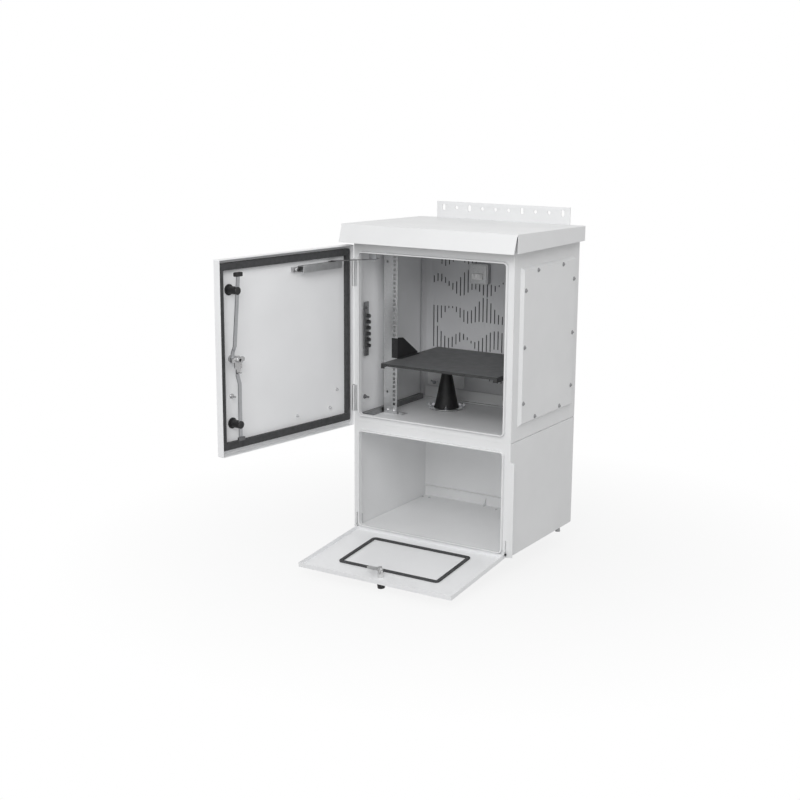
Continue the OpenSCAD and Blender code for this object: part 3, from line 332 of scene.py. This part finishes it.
# Knob of the flap's lock: black on the outer side of the flap, which hangs open below level

def blacken_knob(knob, outer_side=-0.0175):
    """The outer side is given from the hinge line, square to the leaf."""
    hinge = next(joint for joint in frame["joints"] if joint["name"] == "flap_hinge")
    droop = math.radians(hinge["range_deg"][1] - 90)
    knob.data.materials.append(plastic)
    for p in knob.data.polygons:
        place = knob.matrix_world @ p.center - Vector(hinge["pos_m"])
        if place.z * math.cos(droop) - place.y * math.sin(droop) < outer_side:
            p.material_index = 1


blacken_knob(nodes["flap_lock"])


# Camera, as fitted to the photograph

def look(position, target, roll=0.0):
    """A matrix at position, with -Z towards target and +Y up, turned by roll."""
    back = (Vector(position) - Vector(target)).normalized()
    level = Vector((0, 0, 1)).cross(back).normalized()
    upright = back.cross(level)
    c, s = math.cos(roll), math.sin(roll)
    turn = Matrix((level * c + upright * s, upright * c - level * s, back)).transposed().to_4x4()
    return Matrix.Translation(Vector(position)) @ turn


CAMERA_PLACE = (2.23849, -3.99341, 1.45320)
CAMERA_TARGET = (-0.26118, -0.00007, 0.40733)
CAMERA_ROLL = math.radians(0.30)

camera = bpy.data.objects.new("camera", bpy.data.cameras.new("camera"))
bpy.context.scene.collection.objects.link(camera)
camera.data.sensor_width = 36.0
camera.data.lens = 62.33
camera.data.clip_end = 60.0
camera.matrix_world = look(CAMERA_PLACE, CAMERA_TARGET, CAMERA_ROLL)
bpy.context.scene.camera = camera


# Washers of the side cover's screws, and dark bars on their heads as painted shade of the drive slots

def mesh_object(name, verts, faces, mat):
    data = bpy.data.meshes.new(name)
    data.from_pydata(verts, [], faces)
    data.update()
    obj = bpy.data.objects.new(name, data)
    bpy.context.scene.collection.objects.link(obj)
    obj.data.materials.append(mat)
    return obj


def turned_rings(places, profile, steps=24):
    """Rings of revolution about X at each place, from points of radius and height."""
    verts, faces = [], []
    for place in places:
        first = len(verts)
        for radius, height in profile:
            for k in range(steps):
                a = 2 * math.pi * k / steps
                verts.append(place + Vector((height, radius * math.cos(a), radius * math.sin(a))))
        for row in range(len(profile) - 1):
            for k in range(steps):
                low, after = first + row * steps, (k + 1) % steps
                faces.append((low + k, low + after, low + steps + after, low + steps + k))
    return verts, faces


def drive_slot_shades(places, length, width, height):
    """A thin bar with sloping ends on each screw head, turned by its own angle, whose dark material is
    painted shade of the drive slot.
    """
    first_angle, next_angle, top_share = 60, 37, 0.85
    verts, faces = [], []
    for index, place in enumerate(places):
        a = math.radians(first_angle + next_angle * index)
        along = Vector((0, math.cos(a), math.sin(a)))
        across = Vector((0, -math.sin(a), math.cos(a)))
        first = len(verts)
        for x, share in ((0.0, 1.0), (height, top_share)):
            for i, j in ((-1, -1), (1, -1), (1, 1), (-1, 1)):
                verts.append(place + Vector((x, 0, 0)) + along * (i * length * share / 2)
                             + across * (j * width * share / 2))
        faces.append(tuple(first + k for k in (4, 5, 6, 7)))
        for k in range(4):
            after = (k + 1) % 4
            faces.append((first + k, first + after, first + 4 + after, first + 4 + k))
    return verts, faces


def solid_boxes(obj):
    """Lowest and highest corners of each separate solid in a node, in the CAD model's frame."""
    mesh = obj.data
    group = list(range(len(mesh.vertices)))

    def root(v):
        while group[v] != v:
            group[v] = group[group[v]]
            v = group[v]
        return v

    near = {}
    for v in mesh.vertices:
        key = tuple(round(c, 5) for c in v.co)
        group[root(v.index)] = root(near.setdefault(key, v.index))
    for edge in mesh.edges:
        group[root(edge.vertices[0])] = root(edge.vertices[1])
    boxes = {}
    for v in mesh.vertices:
        p = obj.matrix_world @ v.co
        low, high = boxes.setdefault(root(v.index), (p.copy(), p.copy()))
        for i in range(3):
            low[i] = min(low[i], p[i])
            high[i] = max(high[i], p[i])
    return list(boxes.values())


WASHER_PROFILE = [(0.0052, 0.0016), (0.0066, 0.0014), (0.0072, 0.0007), (0.0073, 0.0)]
SLOT_LENGTH, SLOT_WIDTH, SLOT_HEIGHT = 0.0058, 0.0016, 0.0003

cover_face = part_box("side_cover")[1][0]
screws = sorted(solid_boxes(nodes["side_cover_screws"]), key=lambda box: (box[0].y, box[0].z))
seats = [Vector((cover_face, (low.y + high.y) / 2, (low.z + high.z) / 2)) for low, high in screws]
heads = [Vector((high.x, seat.y, seat.z)) for seat, (low, high) in zip(seats, screws)]
rings = turned_rings(seats, WASHER_PROFILE)
slot_shades = drive_slot_shades(heads, SLOT_LENGTH, SLOT_WIDTH, SLOT_HEIGHT)
washers = mesh_object("cover_screw_washers", *rings, steel)
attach(washers, "cabinet")
# Painted shade: black bars stand for the shade inside the screws' drive slots.
drive_shades = mesh_object("cover_screw_drive_shades", *slot_shades, plastic)
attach(drive_shades, "cabinet")


# Floor and background

def seen_directly(tree):
    """1 for rays that show the background itself or its reflection, else 0."""
    path = tree.nodes.new("ShaderNodeLightPath").outputs
    shown = math_node(tree, "MAXIMUM", path["Is Camera Ray"], path["Is Glossy Ray"])
    return math_node(tree, "MAXIMUM", shown, path["Is Transmission Ray"])


def floor_material(near=0.35, far=1.4):
    """A pale floor that takes the shadow near the cabinet and runs out to white from near to far."""
    n = Nodes("floor")
    n.shader.inputs["Base Color"].default_value = (0.58, 0.58, 0.58, 1)
    n.shader.inputs["Roughness"].default_value = 0.9
    n.shader.inputs["Specular IOR Level"].default_value = 0.0
    length = n.tree.nodes.new("ShaderNodeVectorMath")
    length.operation = "LENGTH"
    n.link(n.coords, length.inputs[0])
    outward = n.spread(length.outputs["Value"], low=0.85, high=1.0, start=near, end=far)
    white = n.tree.nodes.new("ShaderNodeEmission")
    share = n.math("MULTIPLY", outward, seen_directly(n.tree))
    shown = mixed_shaders(n.tree, share, n.shader.outputs[0], white.outputs[0])
    n.link(shown, n.tree.nodes["Material Output"].inputs["Surface"])
    return n.mat


def white_world(light):
    """A world that lights at the given strength and shows as white."""
    world = bpy.data.worlds.new("world")
    world.use_nodes = True
    tree = world.node_tree
    lights = tree.nodes["Background"]
    shows = tree.nodes.new("ShaderNodeBackground")
    for node, strength in ((lights, light), (shows, 1.0)):
        node.inputs["Color"].default_value = (1, 1, 1, 1)
        node.inputs["Strength"].default_value = strength
    sky = mixed_shaders(tree, seen_directly(tree), lights.outputs[0], shows.outputs[0])
    tree.links.new(sky, tree.nodes["World Output"].inputs["Surface"])
    return world


FLOOR_HALF = 14.0
FLOOR_GAP = 0.004
corners = [(i * FLOOR_HALF, j * FLOOR_HALF, 0) for i, j in ((-1, -1), (1, -1), (1, 1), (-1, 1))]
floor = mesh_object("floor", corners, [(0, 1, 2, 3)], floor_material())
floor.location = (0, 0, cad_box[0].z - FLOOR_GAP)

bpy.context.scene.world = white_world(light=0.6)


# Lamps

CABINET_MIDDLE = Vector((0, 0, 0.55))


def soft_box(name, azimuth, elevation, distance, size, power):
    """A square lamp that looks at the cabinet's middle."""
    a, e = math.radians(azimuth), math.radians(elevation)
    direction = Vector((math.sin(a) * math.cos(e), -math.cos(a) * math.cos(e), math.sin(e)))
    lamp = bpy.data.lights.new(name, "AREA")
    lamp.size = size
    lamp.energy = power
    obj = bpy.data.objects.new(name, lamp)
    bpy.context.scene.collection.objects.link(obj)
    obj.matrix_world = look(CABINET_MIDDLE + distance * direction, CABINET_MIDDLE)


soft_box("key", azimuth=20, elevation=31, distance=4.2, size=2.0, power=64)
soft_box("front", azimuth=-4, elevation=5, distance=4.4, size=2.6, power=9)
soft_box("side", azimuth=78, elevation=58, distance=2.7, size=1.6, power=6)

bpy.context.scene.view_settings.view_transform = "Standard"
